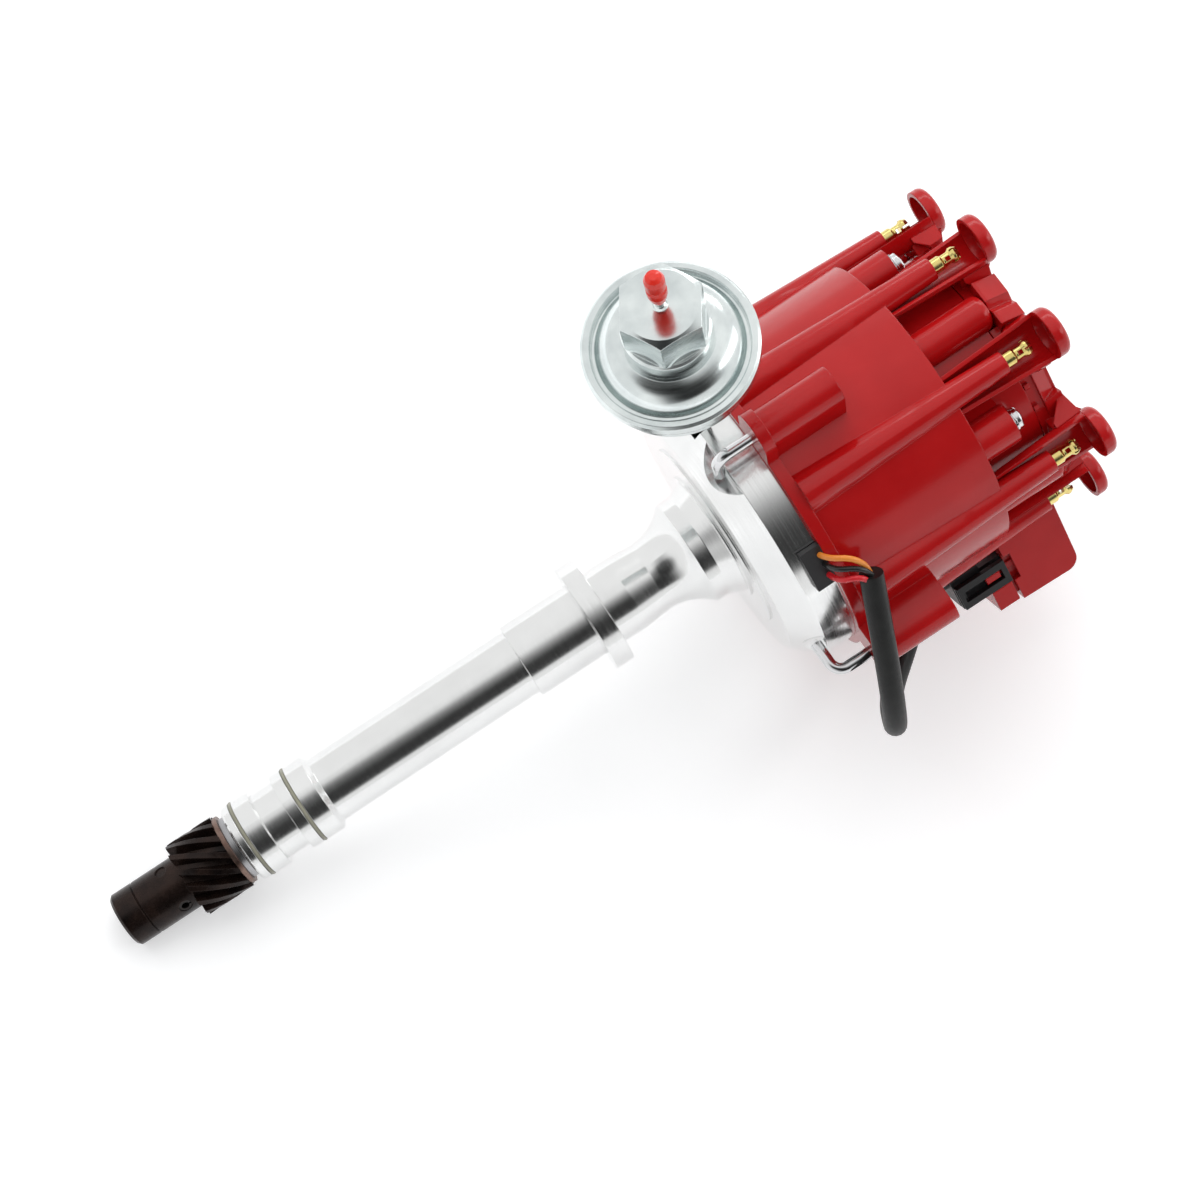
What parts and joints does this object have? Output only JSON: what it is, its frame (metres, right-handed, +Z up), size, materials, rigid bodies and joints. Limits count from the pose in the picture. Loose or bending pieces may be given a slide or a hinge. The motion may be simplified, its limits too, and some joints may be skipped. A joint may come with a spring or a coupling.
{
  "type": "ignition distributor",
  "caption": "Ignition distributor with coil in a red cap, hooded lead retainer, machined alloy body, vacuum advance can, helical drive gear and short sleeved harness.",
  "frame": {"origin": "on the shaft axis, in the plane of the hold-down collar's underside", "axes": "+Z up the shaft towards the cap, +X towards the vacuum can, right-handed"},
  "size_m": [0.2474, 0.1682, 0.3774],
  "materials": {
    "cast_aluminium": "machined and bead-blasted, fine turning marks",
    "zinc_plate": "bright zinc plate with a slight blue cast",
    "steel": "plain machined",
    "sintered_steel": "dull sintered",
    "gear_steel": "black oxide, slightly brown, oily",
    "shim_steel": "rolled",
    "copper_washer": "worn copper colour",
    "bronze": "sintered bronze",
    "brass": "bright turned",
    "bright_steel": "bright plated",
    "spring_steel": "drawn wire",
    "red_plastic": "moulded, satin gloss",
    "black_plastic": "moulded, matt",
    "core_steel": "stacked laminations",
    "winding": "taped and varnished",
    "magnet": "bonded magnet",
    "black_rubber": "soft satin",
    "seal_rubber": "smooth, oiled",
    "sleeve_weave": "varnished woven sleeving",
    "cap_rubber": "soft vinyl, satin",
    "wire_orange": "smooth insulation",
    "wire_black": "smooth insulation",
    "wire_red": "smooth insulation",
    "carbon": "pressed carbon"
  },
  "bodies": {
    "body": {"housing": "cast_aluminium", "lower_bushing": "bronze", "upper_bushing": "bronze", "o_rings": "seal_rubber", "pickup_clip": "steel", "ignition_module": "black_plastic", "module_screws": "steel", "capacitor": "steel", "cap_body": "red_plastic", "cap_terminals": "brass", "coil_core": "core_steel", "coil_winding": "winding", "coil_studs": "black_plastic", "coil_cover": "black_plastic", "coil_contact": "brass", "brush_spring": "spring_steel", "lock_washers": "bright_steel", "cap_screws": "bright_steel", "wire_retainer": "red_plastic", "lead_channels": "red_plastic", "lead_hoods": "red_plastic", "latch_springs": "spring_steel", "vacuum_bracket": "zinc_plate", "bracket_screws": "steel", "can_rear": "zinc_plate", "can_front": "zinc_plate", "vacuum_spring": "spring_steel", "vacuum_nose": "zinc_plate", "nipple_cap": "cap_rubber", "harness_grommet": "black_rubber", "harness_sleeve": "sleeve_weave", "wire_orange": "wire_orange", "wire_black": "wire_black", "wire_red": "wire_red", "harness_plug": "black_plastic"},
    "shaft": {"main_shaft": "steel", "drive_gear": "gear_steel", "gear_roll_pin": "steel", "advance_cam": "sintered_steel", "thrust_washer": "copper_washer", "shims": "shim_steel"},
    "advance": {"timer_core": "sintered_steel", "weight_base": "steel", "rotor": "black_plastic", "rotor_blade": "brass", "rotor_screws": "steel", "advance_springs": "spring_steel"},
    "weight_a": {"weight_a": "steel"},
    "weight_b": {"weight_b": "steel"},
    "pickup": {"pickup_plate": "steel", "pickup_magnet": "magnet", "pickup_coil": "winding", "pole_piece": "sintered_steel"},
    "vacuum": {"vacuum_rod": "steel", "diaphragm": "black_rubber"},
    "brush": {"cap_brush": "carbon"},
    "latch_1": {"latch_1": "bright_steel"},
    "latch_2": {"latch_2": "bright_steel"},
    "latch_3": {"latch_3": "bright_steel"},
    "latch_4": {"latch_4": "bright_steel"}
  },
  "joints": [
    {"name": "shaft_spin", "type": "hinge", "parent": "body", "child": "shaft", "pos_m": [0, 0, 0], "axis": [0, 0, 1], "continuous": true},
    {"name": "advance_turn", "type": "hinge", "parent": "shaft", "child": "advance", "pos_m": [0, 0, 0.085], "axis": [0, 0, -1], "range_deg": [0, 11], "deforming": ["advance_springs"]},
    {"name": "weight_a_swing", "type": "hinge", "parent": "advance", "child": "weight_a", "pos_m": [0.024, 0, 0.088], "axis": [0, 0, -1], "range_deg": [0, 20]},
    {"name": "weight_b_swing", "type": "hinge", "parent": "advance", "child": "weight_b", "pos_m": [-0.024, 0, 0.088], "axis": [0, 0, -1], "range_deg": [0, 20]},
    {"name": "pickup_turn", "type": "hinge", "parent": "body", "child": "pickup", "pos_m": [0, 0, 0.07], "axis": [0, 0, 1], "range_deg": [0, 8]},
    {"name": "vacuum_pull", "type": "slide", "parent": "body", "child": "vacuum", "axis": [1, 0, 0], "range_m": [0, 0.00315], "deforming": ["vacuum_spring"]},
    {"name": "brush_slide", "type": "slide", "parent": "body", "child": "brush", "axis": [0, 0, 1], "range_m": [0, 0.002], "deforming": ["brush_spring"]},
    {"name": "latch_1_turn", "type": "hinge", "parent": "body", "child": "latch_1", "pos_m": [0.0668, 0, 0.09], "axis": [0, 0, 1], "range_deg": [0, 180]},
    {"name": "latch_2_turn", "type": "hinge", "parent": "body", "child": "latch_2", "pos_m": [0, 0.0668, 0.09], "axis": [0, 0, 1], "range_deg": [0, 180]},
    {"name": "latch_3_turn", "type": "hinge", "parent": "body", "child": "latch_3", "pos_m": [-0.0668, 0, 0.09], "axis": [0, 0, 1], "range_deg": [0, 180]},
    {"name": "latch_4_turn", "type": "hinge", "parent": "body", "child": "latch_4", "pos_m": [0, -0.0668, 0.09], "axis": [0, 0, 1], "range_deg": [0, 180]}
  ],
  "couplings": [
    {"joint": "weight_a_swing", "follows": "advance_turn", "ratio": 1.8182},
    {"joint": "weight_b_swing", "follows": "advance_turn", "ratio": 1.8182},
    {"joint": "vacuum_pull", "follows": "pickup_turn", "m_per_rad": 0.02254}
  ]
}
